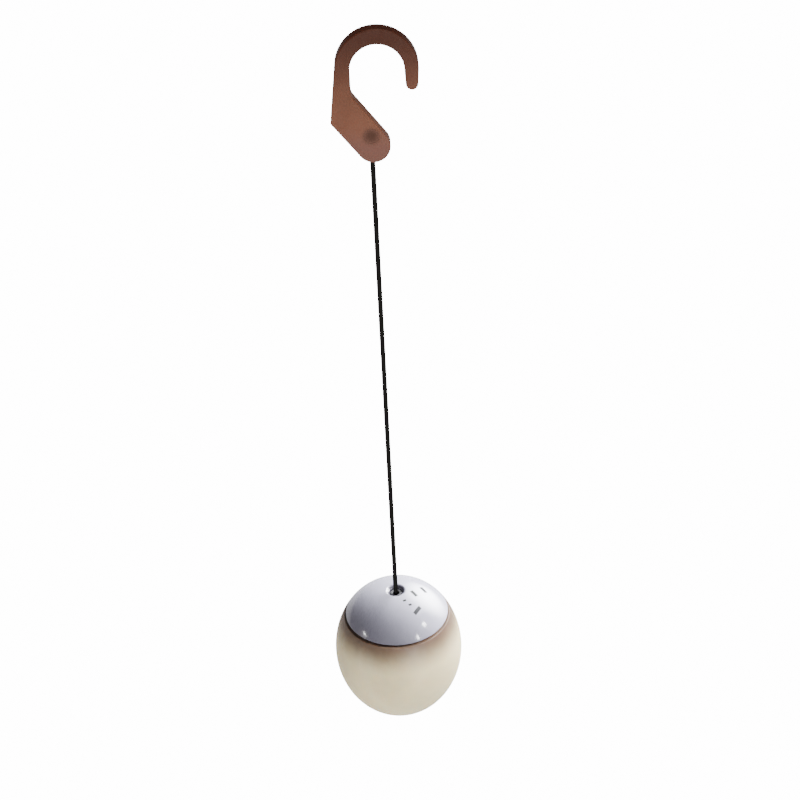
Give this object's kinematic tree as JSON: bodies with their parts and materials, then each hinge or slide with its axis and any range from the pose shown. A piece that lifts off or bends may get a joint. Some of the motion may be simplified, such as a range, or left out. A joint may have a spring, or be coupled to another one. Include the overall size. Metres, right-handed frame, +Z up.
{
  "type": "kitchen timer",
  "caption": "Hanging kitchen timer: a flat hook and a thin cord hold an egg-shaped body with a glossy cap and a translucent shell that turns and presses.",
  "frame": {"origin": "point of the hook's eye that rests on a rail, straight above the cord, in the middle of the hook's thickness", "axes": "+Z up along the hanging cord; +X to the side that the hook's mouth opens to; +Y away from the side with the knot cover, through the hook's thickness"},
  "size_m": [0.06, 0.06, 0.3412],
  "materials": {
    "hook_plastic": "satin",
    "cover_plastic": "satin",
    "cord_black": "matt braided",
    "cap_gloss": "gloss",
    "shell_soft": "satin translucent",
    "black_rubber": "matt",
    "frame_plastic": "satin",
    "clear_plastic": "gloss clear",
    "steel": "satin",
    "board_green": "satin",
    "chip_black": "matt",
    "led_yellow": "gloss",
    "magnet_grey": "satin"
  },
  "bodies": {
    "hook": {"hook_body": "hook_plastic", "knot_cover": "cover_plastic", "hook_knot": "cord_black"},
    "cord_top": {"cord_upper_bend": "cord_black"},
    "cord": {"cord": "cord_black"},
    "cord_bottom": {"cord_lower_bend": "cord_black"},
    "knot": {"cap_knot": "cord_black"},
    "cap": {"cap_shell": "cap_gloss", "cord_grommet": "black_rubber", "knot_washer": "steel", "inner_frame": "frame_plastic", "frame_screw_1": "steel", "frame_screw_2": "steel", "frame_screw_3": "steel", "circuit_board": "board_green", "cell_contact": "steel", "coin_cell": "steel", "cell_clip": "steel", "buzzer": "chip_black", "timer_chip": "chip_black", "hall_sensor": "chip_black", "led_1": "led_yellow", "led_2": "led_yellow", "led_3": "led_yellow", "led_4": "led_yellow", "switch_base": "chip_black", "detent_leaf": "steel", "retaining_clip": "steel"},
    "switch_button": {"switch_plunger": "chip_black"},
    "turn_ring": {"turn_ring": "frame_plastic", "ring_magnet_1": "magnet_grey", "ring_magnet_2": "magnet_grey", "ring_magnet_3": "magnet_grey", "return_spring": "steel"},
    "glow_shell": {"glow_shell": "shell_soft", "press_plate": "clear_plastic"}
  },
  "joints": [
    {"name": "cord_swing_side", "type": "hinge", "parent": "hook", "child": "cord_top", "pos_m": [0, 0, -0.04696], "axis": [0, 1, 0], "range_deg": [-50, 50]},
    {"name": "cord_swing_front", "type": "hinge", "parent": "cord_top", "child": "cord", "pos_m": [0, 0, -0.04696], "axis": [1, 0, 0], "range_deg": [-50, 50]},
    {"name": "timer_tilt_side", "type": "hinge", "parent": "cord", "child": "cord_bottom", "pos_m": [0, 0, -0.2656], "axis": [0, 1, 0], "range_deg": [-45, 45]},
    {"name": "timer_tilt_front", "type": "hinge", "parent": "cord_bottom", "child": "knot", "pos_m": [0, 0, -0.2656], "axis": [1, 0, 0], "range_deg": [-45, 45]},
    {"name": "timer_spin", "type": "hinge", "parent": "knot", "child": "cap", "pos_m": [0, 0, -0.2656], "axis": [0, 0, 1], "continuous": true},
    {"name": "set_turn", "type": "hinge", "parent": "cap", "child": "turn_ring", "pos_m": [0, 0, -0.2986], "axis": [0, 0, 1], "continuous": true},
    {"name": "shell_press", "type": "slide", "parent": "turn_ring", "child": "glow_shell", "axis": [0, 0, 1], "range_m": [0, 0.0008], "stiffness_N_per_m": 800, "springref_m": -0.0015, "deforming": ["return_spring"]},
    {"name": "switch_press", "type": "slide", "parent": "cap", "child": "switch_button", "axis": [0, 0, 1], "range_m": [0, 0.0008]}
  ],
  "couplings": [
    {"joint": "switch_press", "follows": "shell_press", "ratio": 1}
  ]
}
